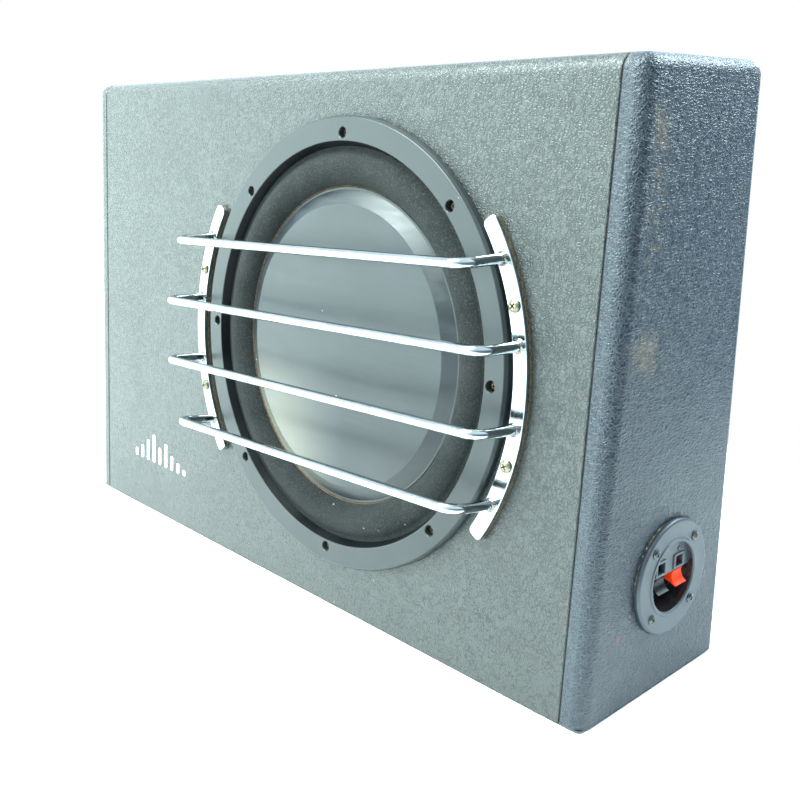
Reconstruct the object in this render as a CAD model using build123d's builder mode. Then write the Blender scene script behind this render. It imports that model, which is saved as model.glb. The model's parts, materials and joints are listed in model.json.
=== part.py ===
from build123d import *

import os
from math import atan, cos, radians, sin, sqrt, tan

# Slim wedge-shaped car subwoofer: a sealed, vinyl-covered cabinet with a shallow
# 12 inch driver, a bar guard over it and a push terminal in the right-hand end.
#
# Frame: +X to the right along the front, +Y from the front to the back, +Z up.
# The origin is the centre of the underside. All lengths are in millimetres.

os.makedirs("parts", exist_ok=True)

# ---------------------------------------------------------------- cabinet
width = 597.0  # between the outer faces of the two end panels
height = 386.0
depth_bottom = 151.0
depth_top = 121.0
board = 15.0  # thickness of the cabinet boards
skin = 1.0  # thickness of the vinyl
floor_sheet = 1.5  # plastic sheet under the cabinet
sheet_inset = 1.5
corner_radius = 10.5  # rounded top corners, seen from the end
edge_radius = 10.0  # rounded edge round each end panel
seam_gap = 0.5  # gap between the body vinyl and the end vinyl
batten = 18.0  # square glue battens in the long inside corners
batten_length = 540.0

# ---------------------------------------------------------------- driver
driver_x = 65.9
driver_up = 197.0  # from the bottom front edge, measured along the sloping front
cutout_radius = 143.2
screw_circle = 148.4  # radius of the driver's screw circle
driver_screws_count = 8
ring_outer = 160.0
ring_inner = 143.2
ring_face = 6.7  # height of the trim ring's face above the front
flange_top = 2.0
cap_radius = 101.0
cap_face = 0.9
roll_inner = 112.7
roll_outer = 137.2
roll_crest = 4.8
coil_radius = 31.8  # outside of the coil former
cone_travel = 7.0  # each way

# ---------------------------------------------------------------- guard
guard_x = 63.0
guard_up = 193.5
guard_twist = 1.9  # the guard is screwed on a little crooked, right side up
strip_outer = 178.0
strip_inner = 167.2
strip_half_angle = 35.0
strip_corner = 3.6
pad_thickness = 2.2
strip_top = 5.0
bar_radius = 3.25
bar_height = 38.6  # centre line above the front
bar_bend = 10.0
leg_circle = 171.6
leg_rows = (75.4, 25.1, -25.1, -75.4)  # feet of the bars, from the guard's middle
bar_rows = (72.6, 24.2, -24.2, -72.6)  # the bars themselves: the legs lean in
guard_screw_angle = 16.3

# ---------------------------------------------------------------- terminal
cup_y = 9.7
cup_z = 77.0
cup_flange = 38.0  # radius
cup_face = 3.8
cup_opening = 23.0  # radius
cup_body = 25.5  # radius
cup_floor = -14.5
cup_back = -16.8
cup_screw_pitch = 43.5  # four screws on a square
shelf_edge = 1.5  # lower edge of the plate with the wire ports
shelf_face = 0.4
port_pitch = 20.0
port_up = 7.4
lever_width = 11.6
lever_pin_up = 4.5
lever_pin_in = -6.0
lever_pin_radius = 1.0

# ---------------------------------------------------------------- planes
lean = atan((depth_bottom - depth_top) / height)
front_y = -depth_bottom / 2
back_y = depth_bottom / 2

# x across, y up the slope, z out of the front
front = Plane(
    origin=(0, front_y, 0), x_dir=(1, 0, 0), z_dir=(0, -cos(lean), sin(lean))
)


def front_point(across, up, out):
    """A point given in the front's own directions."""
    return front.from_local_coords(Vector(across, up, out))


driver = Plane(
    origin=front_point(driver_x, driver_up, 0), x_dir=(1, 0, 0), z_dir=front.z_dir
)
driver_axis = Axis(driver.origin, driver.z_dir)
# x is the radius and y the height above the front
driver_section = Plane(
    origin=driver.origin, x_dir=(1, 0, 0), z_dir=(0, -sin(lean), -cos(lean))
)
guard = Plane(
    origin=front_point(guard_x, guard_up, 0),
    x_dir=Vector(1, 0, 0).rotate(Axis((0, 0, 0), front.z_dir), guard_twist),
    z_dir=front.z_dir,
)
# x towards the back, y up, z out of the right-hand end
cup = Plane(origin=(width / 2, cup_y, cup_z), x_dir=(0, 1, 0), z_dir=(1, 0, 0))


def write(name, piece):
    """Labels a finished piece and writes its STEP file."""
    piece.part.label = name
    export_step(piece.part, f"parts/{name}.step")


def face_y(z, inset):
    """Y of the sloping front at height z, 'inset' in from its outer surface."""
    return front_y + z * tan(lean) + inset / cos(lean)


def side_outline(x, inset):
    """The cabinet seen from the end, 'inset' in from the vinyl, in the plane X = x."""
    top = height - inset
    with BuildSketch(Plane.YZ.offset(x)) as outline:
        with BuildLine():
            Polyline(
                (face_y(floor_sheet, inset), floor_sheet),
                (back_y - inset, floor_sheet),
                (back_y - inset, top),
                (face_y(top, inset), top),
                close=True,
            )
        make_face()
        fillet(outline.vertices().group_by(Axis.Y)[-1], corner_radius - inset)
    return outline.sketch


def long_section(*corners):
    """Section of a board or batten that runs along X, centred on the cabinet."""
    with BuildSketch(Plane.YZ) as section:
        with BuildLine():
            Polyline(*corners, close=True)
        make_face()
    return section.sketch


def turned(*corners):
    """Half section of a piece turned about the driver's axis."""
    with BuildSketch(driver_section) as section:
        with BuildLine():
            Polyline(*corners, close=True)
        make_face()
    return section.sketch


def round_holes(plane, places, radius, depth):
    """Round bars centred on the plane, to be cut away as holes."""
    with BuildPart(mode=Mode.PRIVATE) as bars:
        with BuildSketch(plane):
            with Locations(*places):
                Circle(radius)
        extrude(amount=depth, both=True)
    return bars.part


def circle_places(radius, angles):
    return [(radius * cos(radians(a)), radius * sin(radians(a))) for a in angles]


driver_screw_places = circle_places(
    screw_circle, [90 + n * 360 / driver_screws_count for n in range(driver_screws_count)]
)
guard_screw_places = circle_places(
    (strip_outer + strip_inner) / 2,
    [side + turn for side in (0, 180) for turn in (guard_screw_angle, -guard_screw_angle)],
)
cup_screw_places = [
    (a * cup_screw_pitch / 2, b * cup_screw_pitch / 2) for a in (-1, 1) for b in (-1, 1)
]
driver_cutout = round_holes(driver, [(0, 0)], cutout_radius, 2 * board)
driver_pilots = round_holes(driver, driver_screw_places, 2.1, 2 * board)
guard_pilots = round_holes(guard, guard_screw_places, 2.1, 2 * board)
cup_pilots = round_holes(cup, cup_screw_places, 1.6, 2 * board)
cup_cutout = round_holes(cup, [(0, 0)], cup_body + 0.7, 2 * board)

# ---------------------------------------------------------------- cabinet boards
inner_half = width / 2 - skin - board  # the long boards end here
top_z = height - skin
wall = skin + board

with BuildPart() as front_baffle:
    baffle_section = long_section(
        (face_y(floor_sheet, skin), floor_sheet),
        (face_y(floor_sheet, wall), floor_sheet),
        (face_y(top_z, wall), top_z),
        (face_y(top_z, skin), top_z),
    )
    extrude(baffle_section, amount=inner_half, both=True)
    fillet(
        front_baffle.edges().filter_by(Axis.X).group_by(Axis.Z)[-1].sort_by(Axis.Y)[0],
        corner_radius - skin,
    )
    for cut in (driver_cutout, driver_pilots, guard_pilots):
        add(cut, mode=Mode.SUBTRACT)
write("front_baffle", front_baffle)

with BuildPart() as back_board:
    back_section = long_section(
        (back_y - wall, floor_sheet),
        (back_y - skin, floor_sheet),
        (back_y - skin, top_z),
        (back_y - wall, top_z),
    )
    extrude(back_section, amount=inner_half, both=True)
    fillet(
        back_board.edges().filter_by(Axis.X).group_by(Axis.Z)[-1].sort_by(Axis.Y)[-1],
        corner_radius - skin,
    )
write("back_board", back_board)

for name, low, high in (
    ("top_board", top_z - board, top_z),
    ("bottom_board", floor_sheet, floor_sheet + board),
):
    with BuildPart() as level_board:
        level_section = long_section(
            (face_y(low, wall), low),
            (back_y - wall, low),
            (back_y - wall, high),
            (face_y(high, wall), high),
        )
        extrude(level_section, amount=inner_half, both=True)
    write(name, level_board)

with BuildPart() as corner_battens:
    for low in (floor_sheet + board, top_z - board - batten):
        high = low + batten
        front_batten = long_section(
            (face_y(low, wall), low),
            (face_y(low, wall) + batten, low),
            (face_y(high, wall) + batten, high),
            (face_y(high, wall), high),
        )
        rear_batten = long_section(
            (back_y - wall - batten, low),
            (back_y - wall, low),
            (back_y - wall, high),
            (back_y - wall - batten, high),
        )
        extrude(front_batten, amount=batten_length / 2, both=True)
        extrude(rear_batten, amount=batten_length / 2, both=True)
write("corner_battens", corner_battens)


def end_block(inset):
    """The right-hand end with its rounded edge: the board alone, or with its vinyl."""
    with BuildPart(mode=Mode.PRIVATE) as block:
        extrude(side_outline(inner_half, inset), amount=wall - inset)
        outer_face = block.faces().sort_by(Axis.X)[-1]
        rim = outer_face.edges().filter_by(lambda e: e.center().Z > floor_sheet + 0.1)
        fillet(rim, edge_radius - inset)
    return block.part


bare_end = end_block(skin)
covered_end = end_block(0)

with BuildPart() as right_end_board:
    add(bare_end)
    add(cup_cutout, mode=Mode.SUBTRACT)
    add(cup_pilots, mode=Mode.SUBTRACT)
write("right_end_board", right_end_board)

with BuildPart() as right_end_vinyl:
    add(covered_end)
    for cut in (bare_end, cup_cutout, cup_pilots):
        add(cut, mode=Mode.SUBTRACT)
write("right_end_vinyl", right_end_vinyl)

with BuildPart() as left_end_board:
    add(mirror(bare_end, about=Plane.YZ, mode=Mode.PRIVATE))
write("left_end_board", left_end_board)

with BuildPart() as left_end_vinyl:
    add(mirror(covered_end, about=Plane.YZ, mode=Mode.PRIVATE))
    add(mirror(bare_end, about=Plane.YZ, mode=Mode.PRIVATE), mode=Mode.SUBTRACT)
write("left_end_vinyl", left_end_vinyl)

with BuildPart() as body_vinyl:
    extrude(side_outline(0, 0), amount=inner_half - seam_gap, both=True)
    extrude(side_outline(0, skin), amount=width, both=True, mode=Mode.SUBTRACT)
    for cut in (driver_cutout, driver_pilots, guard_pilots):
        add(cut, mode=Mode.SUBTRACT)
write("body_vinyl", body_vinyl)

with BuildPart() as bottom_sheet:
    with BuildSketch():
        RectangleRounded(width - 2 * sheet_inset, depth_bottom - 2 * sheet_inset, 3)
    extrude(amount=floor_sheet)
write("bottom_sheet", bottom_sheet)

# A plain level-meter mark printed on the front.
with BuildPart() as front_mark:
    mark_heights = (7, 12, 19, 26, 16, 22, 13, 9, 5)
    for n, bar in enumerate(mark_heights):
        mark_x = -width / 2 + 72 + n * 10.5
        with BuildSketch(Plane(front_point(mark_x, 48 + bar / 2, 0), (1, 0, 0), front.z_dir)):
            RectangleRounded(4.2, bar, 1.6)
        extrude(amount=0.2)
write("front_mark", front_mark)

# ---------------------------------------------------------------- driver, fixed pieces
basket_outline = (
    (158.2, flange_top),
    (141.3, flange_top),
    (141.3, -1.3),
    (133.6, -1.3),
    (118.2, -27.8),
    (82.4, -45.4),
    (67.0, -45.4),
    (63.2, -62.7),
    (36.0, -62.7),
    (36.0, -64.0),
    (64.2, -64.0),
    (68.0, -46.7),
    (83.0, -46.7),
    (119.2, -29.0),
    (134.4, -2.7),
    (142.6, -2.7),
    (142.6, 0.8),
    (158.2, 0.8),
)
window_count = 6
with BuildPart() as driver_basket:
    revolve(turned(*basket_outline), axis=driver_axis)
    with Locations(driver.offset(-28)):
        with PolarLocations(108, window_count):
            Box(40, 78, 44, mode=Mode.SUBTRACT)
    add(round_holes(driver, driver_screw_places, 2.3, 8), mode=Mode.SUBTRACT)
write("driver_basket", driver_basket)

with BuildPart() as driver_gasket:
    revolve(turned((146, 0), (157.5, 0), (157.5, 0.8), (146, 0.8)), axis=driver_axis)
    add(round_holes(driver, driver_screw_places, 2.3, 8), mode=Mode.SUBTRACT)
write("driver_gasket", driver_gasket)

with BuildPart() as trim_ring:
    ring_outline = (
        (ring_inner, ring_face),
        (158.2, ring_face),
        (159.3, ring_face - 0.6),
        (ring_outer, ring_face - 2.2),
        (ring_outer, 0.3),
        (158.7, 0.3),
        (158.7, flange_top),
        (141.2, flange_top),
        (141.2, 0),
        (139.8, 0),
    )
    revolve(turned(*ring_outline), axis=driver_axis)
    add(round_holes(driver, driver_screw_places, 3.75, 20), mode=Mode.SUBTRACT)
write("trim_ring", trim_ring)


def screw(place, seat, head_radius, head_height, shank_radius, length):
    """A cross-head screw whose head rests 'seat' above the plane 'place'."""
    top = seat + head_height
    with BuildPart(mode=Mode.PRIVATE) as one:
        with BuildSketch(place.offset(seat)):
            Circle(head_radius)
        extrude(amount=head_height)
        fillet(one.faces().sort_by(Axis(place.origin, place.z_dir))[-1].edges(), head_height * 0.6)
        with BuildSketch(place.offset(seat)):
            Circle(shank_radius)
        extrude(amount=-length)
        with BuildSketch(place.offset(top)):
            Rectangle(head_radius * 1.15, head_radius * 0.3)
            Rectangle(head_radius * 0.3, head_radius * 1.15)
        extrude(amount=-head_height * 0.7, mode=Mode.SUBTRACT)
    return one.part


def screw_group(plane, places, *sizes):
    return [
        screw(Plane(plane.from_local_coords(Vector(x, y, 0)), plane.x_dir, plane.z_dir), *sizes)
        for x, y in places
    ]


with BuildPart() as driver_screws:
    add(screw_group(driver, driver_screw_places, flange_top, 3.4, 1.7, 2.0, 14.5))
write("driver_screws", driver_screws)

with BuildPart() as top_plate:
    revolve(turned((34, -64), (60, -64), (60, -71), (34, -71)), axis=driver_axis)
write("top_plate", top_plate)

with BuildPart() as magnet:
    revolve(turned((37, -71), (70, -71), (70, -89), (37, -89)), axis=driver_axis)
write("magnet", magnet)

with BuildPart() as pole_yoke:
    yoke_outline = ((8, -95), (66, -95), (66, -89), (30.5, -89), (30.5, -64.5), (8, -64.5))
    revolve(turned(*yoke_outline), axis=driver_axis)
write("pole_yoke", pole_yoke)

# The terminal board sits under the spider ledge, at the basket window nearest the cup.
tag_spacing = 16.0
with BuildPart() as driver_tag_board:
    with BuildSketch(driver.offset(-48.3)):
        with Locations((82, 0)):
            Rectangle(20, 30)
    extrude(amount=1.6)
write("driver_tag_board", driver_tag_board)

with BuildPart() as driver_tags:
    with BuildSketch(driver.offset(-49.1)):
        with Locations((91, tag_spacing / 2), (91, -tag_spacing / 2)):
            Rectangle(22, 6)
    extrude(amount=0.8)
write("driver_tags", driver_tags)

# ---------------------------------------------------------------- driver, moving pieces
cone_foot = 33.4
cone_slope = (-7.9 + 39.0) / (107.0 - cone_foot)  # underside of the cone
with BuildPart() as cone:
    cone_outline = (
        (112.3, -6.6),
        (106.6, -6.6),
        (33.6, -37.4),
        (coil_radius + 0.05, -37.4),
        (coil_radius + 0.05, -43.0),
        (cone_foot, -43.0),
        (cone_foot, -39.0),
        (107.0, -7.9),
        (112.3, -7.9),
    )
    revolve(turned(*cone_outline), axis=driver_axis)
write("cone", cone)

with BuildPart() as cone_cap:
    cap_outline = (
        (0, cap_face),
        (cap_radius - 1.6, cap_face),
        (cap_radius + 0.6, cap_face - 0.8),
        (111.3, -4.3),
        (112.4, -4.3),
        (112.4, -5.3),
        (107.4, -5.3),
        (98.6, -0.8),
        (0, -0.8),
    )
    revolve(turned(*cap_outline), axis=driver_axis)
write("cone_cap", cone_cap)

with BuildPart() as coil_former:
    former = ((31.3, -37.4), (coil_radius, -37.4), (coil_radius, -80.5), (31.3, -80.5))
    revolve(turned(*former), axis=driver_axis)
write("coil_former", coil_former)

with BuildPart() as voice_coil:
    winding = ((coil_radius, -56), (33.1, -56), (33.1, -80), (coil_radius, -80))
    revolve(turned(*winding), axis=driver_axis)
write("voice_coil", voice_coil)

with BuildPart() as surround:
    with BuildSketch(driver_section):
        with BuildLine():
            Polyline((roll_inner + 1.5, -6.6), (107.4, -6.6), (107.4, -5.3), (roll_inner, -5.3))
            ThreePointArc((roll_inner, -5.3), (125.2, roll_crest), (roll_outer, 0))
            Polyline((roll_outer, 0), (141.1, 0), (141.1, -1.3), (roll_outer - 1.6, -1.3))
            ThreePointArc((roll_outer - 1.6, -1.3), (125.2, roll_crest - 1.6), (roll_inner + 1.5, -6.6))
        make_face()
    revolve(axis=driver_axis)
write("surround", surround)

spider_inner = coil_radius + 0.1
with BuildPart() as spider:
    crests = [36 + n * 4.8 for n in range(7)]
    upper = [(r, -44.6 + (1.6 if n % 2 else 0)) for n, r in enumerate(crests)]
    lower = [(r, h - 0.8) for r, h in reversed(upper)]
    spider_outline = [
        (spider_inner, -43.4),
        (33.4, -43.4),
        *upper,
        (76.0, -44.6),
        (76.0, -45.4),
        *lower,
        (33.4, -46.6),
        (spider_inner, -46.6),
    ]
    revolve(turned(*spider_outline), axis=driver_axis)
write("spider", spider)

# Braided leads from the tags up to the underside of the cone.
lead_radius = 0.8
lead_end = 84.0
lead_end_height = -39.0 + (lead_end - cone_foot) * cone_slope - 1.2
with BuildPart() as tinsel_leads:
    for side in (1, -1):
        across = side * tag_spacing / 2
        route = [
            driver.from_local_coords(Vector(r, across, h))
            for r, h in ((98, -48.1), (98, -36), (lead_end, lead_end_height))
        ]
        with BuildLine() as lead_path:
            FilletPolyline(*route, radius=8)
        with BuildSketch(Plane(lead_path.line @ 0, z_dir=lead_path.line % 0)):
            Circle(lead_radius)
        sweep(path=lead_path.line)
write("tinsel_leads", tinsel_leads)

# ---------------------------------------------------------------- guard


def strip_part(side, low, high, grow):
    """Curved strip of the guard: side 0 is the right one, 180 the left one."""
    middle = (strip_outer + strip_inner) / 2
    half = (strip_outer - strip_inner) / 2 + grow
    with BuildPart(mode=Mode.PRIVATE) as strip:
        with BuildSketch(guard.offset(low)) as outline:
            with BuildLine():
                outer = CenterArc(
                    (0, 0), middle + half, side - strip_half_angle, 2 * strip_half_angle
                )
                inner = CenterArc(
                    (0, 0), middle - half, side - strip_half_angle, 2 * strip_half_angle
                )
                Line(outer @ 0, inner @ 0)
                Line(outer @ 1, inner @ 1)
            make_face()
            fillet(outline.vertices(), strip_corner)
        extrude(amount=high - low)
        add(round_holes(guard, guard_screw_places, 2.3, 12), mode=Mode.SUBTRACT)
    return strip.part


for name, side in (("right", 0), ("left", 180)):
    with BuildPart() as guard_pad:
        add(strip_part(side, 0, pad_thickness, 0.4))
    write(f"guard_pad_{name}", guard_pad)
    with BuildPart() as guard_strip:
        add(strip_part(side, pad_thickness, strip_top, 0))
        front_face = guard_strip.faces().sort_by(Axis(guard.origin, guard.z_dir))[-1]
        fillet(front_face.outer_wire().edges(), 0.7)
    write(f"guard_strip_{name}", guard_strip)

for n, (foot, row) in enumerate(zip(leg_rows, bar_rows), start=1):
    reach = sqrt(leg_circle**2 - foot**2)
    corners = [
        guard.from_local_coords(Vector(*point))
        for point in (
            (-reach, foot, strip_top - 1.0),
            (-reach, row, bar_height),
            (reach, row, bar_height),
            (reach, foot, strip_top - 1.0),
        )
    ]
    with BuildPart() as guard_bar:
        with BuildLine() as bar_path:
            FilletPolyline(*corners, radius=bar_bend)
        with BuildSketch(Plane(bar_path.line @ 0, z_dir=bar_path.line % 0)):
            Circle(bar_radius)
        sweep(path=bar_path.line)
        # the feet are cut flush with the top of the strips
        with BuildSketch(guard.offset(strip_top)):
            Rectangle(3 * reach, 300)
        extrude(amount=-10, mode=Mode.SUBTRACT)
    write(f"guard_bar_{n}", guard_bar)

with BuildPart() as guard_screws:
    add(screw_group(guard, guard_screw_places, strip_top, 4.2, 2.3, 2.0, 19))
write("guard_screws", guard_screws)

# ---------------------------------------------------------------- terminal cup
pad_face = 0.6  # the foam pad under the flange
port_places = [(-port_pitch / 2, port_up), (port_pitch / 2, port_up)]
lever_slot = 12.4
cheek = port_pitch / 2 + lever_slot / 2

pin_centre = cup.from_local_coords(Vector(0, lever_pin_up, lever_pin_in))
pin_section = Plane(pin_centre, z_dir=cup.x_dir)

with BuildPart() as terminal_cup:
    # flange, and a drum with a round hollow
    with BuildSketch(cup.offset(pad_face)):
        Circle(cup_flange)
    extrude(amount=cup_face - pad_face)
    fillet(terminal_cup.faces().sort_by(Axis.X)[-1].edges(), 1.6)
    with BuildSketch(cup.offset(pad_face)):
        Circle(cup_body)
    extrude(amount=cup_back - pad_face)
    with BuildSketch(cup.offset(cup_face)):
        Circle(cup_opening)
    extrude(amount=cup_floor - cup_face, mode=Mode.SUBTRACT)
    rims = terminal_cup.edges().filter_by(GeomType.CIRCLE)
    mouth = rims.filter_by(lambda e: abs(e.radius - cup_opening) < 0.1).sort_by(Axis.X)
    fillet(mouth[-1], 1.8)
    fillet(mouth[0], 5.0)
    # the plate with the wire ports, over two lever wells
    with BuildSketch(cup.offset(shelf_face)):
        with BuildLine():
            chord = sqrt((cup_opening + 0.5) ** 2 - shelf_edge**2)
            Line((-chord, shelf_edge), (chord, shelf_edge))
            ThreePointArc((-chord, shelf_edge), (0, cup_opening + 0.5), (chord, shelf_edge))
        make_face()
    extrude(amount=cup_floor - shelf_face - 0.5)
    with BuildSketch(cup.offset(shelf_face)):
        with Locations(*port_places):
            Rectangle(11.4, 10.4)
    extrude(amount=0.9)
    with BuildSketch(cup.offset(shelf_face + 0.9)):
        with Locations(*port_places):
            Rectangle(7.8, 7.0)
    extrude(amount=-6, mode=Mode.SUBTRACT)
    with BuildSketch(cup.offset(-1.2)):
        with Locations(*[(x, 7.0) for x, _ in port_places]):
            Rectangle(lever_slot, 14.0)
    extrude(amount=cup_floor + 1.2, mode=Mode.SUBTRACT)
    # bore for the levers' pin, and slots for the contact tags
    with BuildSketch(pin_section):
        Circle(lever_pin_radius + 0.02)
    extrude(amount=cheek + 2.6, both=True, mode=Mode.SUBTRACT)
    with BuildSketch(cup.offset(cup_floor)):
        with Locations(*[(x, 12.4) for x, _ in port_places]):
            Rectangle(6.2, 0.9)
    extrude(amount=-6, mode=Mode.SUBTRACT)
    add(round_holes(cup, cup_screw_places, 1.8, 12), mode=Mode.SUBTRACT)
write("terminal_cup", terminal_cup)

with BuildPart() as cup_pad:
    with BuildSketch(cup):
        Circle(cup_flange - 0.6)
        Circle(cup_body + 0.7, mode=Mode.SUBTRACT)
    extrude(amount=pad_face)
    add(round_holes(cup, cup_screw_places, 1.8, 12), mode=Mode.SUBTRACT)
write("cup_pad", cup_pad)

with BuildPart() as cup_screws:
    add(screw_group(cup, cup_screw_places, cup_face, 3.3, 1.4, 1.55, 16))
write("cup_screws", cup_screws)

with BuildPart() as lever_pin:
    with BuildSketch(pin_section):
        Circle(lever_pin_radius)
    extrude(amount=cheek + 2.4, both=True)
write("lever_pin", lever_pin)

lever_colours = (("black", -1), ("red", 1))
for colour, side in lever_colours:
    place = Plane(cup.from_local_coords(Vector(side * port_pitch / 2, 0, 0)), (0, 0, 1), (0, 1, 0))
    with BuildPart() as lever:
        with BuildSketch(place):
            with BuildLine():
                outward = place.y_dir.X
                tip = (-7.8, outward * 3.9)
                ThreePointArc((1.1, outward * 0.5), (-3.4, outward * 0.35), tip)
                Polyline(
                    tip,
                    (-8.6, outward * 2.9),
                    (-6.2, outward * -1.2),
                    (-5.0, outward * -6.5),
                    (0.5, outward * -9.2),
                    (7.4, outward * -9.2),
                    (7.4, outward * -3.2),
                    (1.1, outward * -2.6),
                    (1.1, outward * 0.5),
                )
            make_face()
            with Locations((lever_pin_up, outward * lever_pin_in)):
                Circle(lever_pin_radius + 0.06, mode=Mode.SUBTRACT)
        extrude(amount=lever_width / 2, both=True)
    write(f"lever_{colour}", lever)

    with BuildPart() as contact_tag:
        with BuildSketch(place):
            with BuildLine():
                Polyline(
                    (8.6, outward * -2.2),
                    (12.8, outward * -2.2),
                    (12.8, outward * -31.0),
                    (12.0, outward * -31.0),
                    (12.0, outward * -3.0),
                    (8.6, outward * -3.0),
                    close=True,
                )
            make_face()
        extrude(amount=3.0, both=True)
    write(f"contact_tag_{colour}", contact_tag)

    # coil spring between the lever's heel and the floor of the cup
    spring_radius = 1.7
    spring_wire = 0.25
    with BuildPart() as lever_spring:
        spring_place = Vector(side * port_pitch / 2, 3.0, cup_floor + spring_wire + 0.05)
        spring_foot = cup.from_local_coords(spring_place)
        spring_length = -9.2 - cup_floor - 2 * spring_wire - 0.15
        with BuildLine() as spring_path:
            Helix(
                pitch=spring_length / 5,
                height=spring_length,
                radius=spring_radius,
                center=spring_foot,
                direction=(1, 0, 0),
            )
        with BuildSketch(Plane(spring_path.line @ 0, z_dir=spring_path.line % 0)):
            Circle(spring_wire)
        sweep(path=spring_path.line, is_frenet=True)
    write(f"lever_spring_{colour}", lever_spring)

# ---------------------------------------------------------------- wires inside the cabinet
wire_radius = 1.3
for colour, side in lever_colours:
    start = cup.from_local_coords(Vector(side * port_pitch / 2, 12.4 - 2.0, -27.0))
    finish = driver.from_local_coords(Vector(100, side * tag_spacing / 2, -50.5))
    route = [
        start,
        start + Vector(-22, 0, -4),
        Vector(226, start.Y - 2, 56),
        Vector(203, start.Y - 5, 27),
        Vector(183, start.Y - 12, 40),
        Vector(176, finish.Y + 16, 84),
        Vector(173, finish.Y + 11, 130),
        Vector(171, finish.Y + 6, finish.Z - 22),
        finish,
    ]
    with BuildPart() as wire:
        with BuildLine() as wire_path:
            FilletPolyline(*route, radius=9)
        with BuildSketch(Plane(wire_path.line @ 0, z_dir=wire_path.line % 0)):
            Circle(wire_radius)
        sweep(path=wire_path.line)
    write(f"hookup_wire_{colour}", wire)
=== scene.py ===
import json
from math import atan2, ceil, cos, pi, radians, sin, sqrt, tan

import bmesh
import bpy
from mathutils import Matrix, Vector, noise

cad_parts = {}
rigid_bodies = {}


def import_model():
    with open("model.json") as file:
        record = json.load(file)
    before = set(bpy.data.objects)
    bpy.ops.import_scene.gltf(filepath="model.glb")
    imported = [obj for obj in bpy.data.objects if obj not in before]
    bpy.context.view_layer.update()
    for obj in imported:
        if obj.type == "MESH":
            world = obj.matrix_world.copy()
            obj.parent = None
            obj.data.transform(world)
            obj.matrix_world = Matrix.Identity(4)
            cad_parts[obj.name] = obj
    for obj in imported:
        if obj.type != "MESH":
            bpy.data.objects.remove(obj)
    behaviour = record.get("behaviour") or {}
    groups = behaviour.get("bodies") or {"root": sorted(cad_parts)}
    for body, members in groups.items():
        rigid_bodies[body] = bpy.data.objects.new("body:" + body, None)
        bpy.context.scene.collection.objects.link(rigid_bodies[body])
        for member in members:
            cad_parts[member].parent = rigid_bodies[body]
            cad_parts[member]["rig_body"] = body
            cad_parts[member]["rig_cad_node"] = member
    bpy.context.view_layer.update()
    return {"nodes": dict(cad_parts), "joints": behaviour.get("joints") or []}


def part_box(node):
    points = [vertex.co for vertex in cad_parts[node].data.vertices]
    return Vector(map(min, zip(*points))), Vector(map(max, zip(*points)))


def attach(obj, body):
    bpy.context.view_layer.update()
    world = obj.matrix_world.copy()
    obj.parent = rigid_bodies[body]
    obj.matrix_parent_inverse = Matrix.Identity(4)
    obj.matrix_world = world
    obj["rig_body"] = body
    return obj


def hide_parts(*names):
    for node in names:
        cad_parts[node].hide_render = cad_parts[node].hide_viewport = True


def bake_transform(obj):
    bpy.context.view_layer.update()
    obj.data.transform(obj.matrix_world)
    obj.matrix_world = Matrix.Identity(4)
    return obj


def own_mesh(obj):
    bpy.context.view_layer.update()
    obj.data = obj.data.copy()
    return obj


# Slim wedge car subwoofer. Shapes are drawn in millimetres in the directions of the
# plane they sit on, and a matrix takes them to metres in the object's frame.

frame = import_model()
MM = 0.001


# -------- places
def middle(*nodes):
    """Centre of the box round some CAD nodes."""
    boxes = [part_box(node) for node in nodes]
    low = [min(box[0][k] for box in boxes) for k in range(3)]
    high = [max(box[1][k] for box in boxes) for k in range(3)]
    return (Vector(low) + Vector(high)) / 2


def plane(origin, x_axis, z_axis):
    """From millimetres in a plane's own directions to metres in the object's frame."""
    z = Vector(z_axis).normalized()
    x = (Vector(x_axis) - z * z.dot(Vector(x_axis))).normalized()
    turn = Matrix((x, z.cross(x), z)).transposed().to_4x4()
    return Matrix.Translation(origin) @ turn @ Matrix.Scale(MM, 4)


wrap_low, wrap_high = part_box("body_vinyl")
cabinet_low, cabinet_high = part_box("right_end_vinyl")
joints = {joint["name"]: joint for joint in frame["joints"]}
outward = Vector(joints["cone_travel"]["axis"]).normalized()
lean = atan2(outward.z, -outward.y)
foot = Vector((0, wrap_low.y, wrap_low.z))  # the front's lower edge, at the middle


def on_front(point):
    """The point of the front that lies under a point in front of it."""
    return point - outward * (point - foot).dot(outward)


guard_twist = radians(1.9)
driver = plane(on_front(middle("trim_ring")), (1, 0, 0), outward)
guard_x = Matrix.Rotation(guard_twist, 3, outward) @ Vector((1, 0, 0))
guard = plane(on_front(middle("guard_strip_left", "guard_strip_right")), guard_x, outward)
cup_centre = middle("terminal_cup")
cup = plane((cabinet_high.x, cup_centre.y, cup_centre.z), (0, 1, 0), (1, 0, 0))


# -------- shapes
def polar(radius, angle, height=0):
    return Vector((radius * cos(angle), radius * sin(angle), height))


def for_each(value, count):
    """A list of one value for each point, from such a list or from a single value."""
    return value if hasattr(value, "__len__") else [value] * count


def rounded(points, radii, closed=False, step=radians(9)):
    """A polyline with its corners rounded, by one radius or by one for each point."""
    points = [Vector(point).to_3d() for point in points]
    count = len(points)
    radii = for_each(radii, count)
    path = []
    for i, (here, radius) in enumerate(zip(points, radii)):
        if radius == 0 or (not closed and i in (0, count - 1)):
            path.append(here)
            continue
        back = (points[i - 1] - here).normalized()
        ahead = (points[(i + 1) % count] - here).normalized()
        half = back.angle(ahead) / 2
        turn = pi - 2 * half
        centre = here + (back + ahead).normalized() * radius / sin(half)
        first = here + back * radius / tan(half) - centre
        last = here + ahead * radius / tan(half) - centre
        steps = max(2, ceil(turn / step))
        axis = first.cross(last)
        path += [
            centre + Matrix.Rotation(turn * k / steps, 3, axis) @ first
            for k in range(steps + 1)
        ]
    return path


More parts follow.
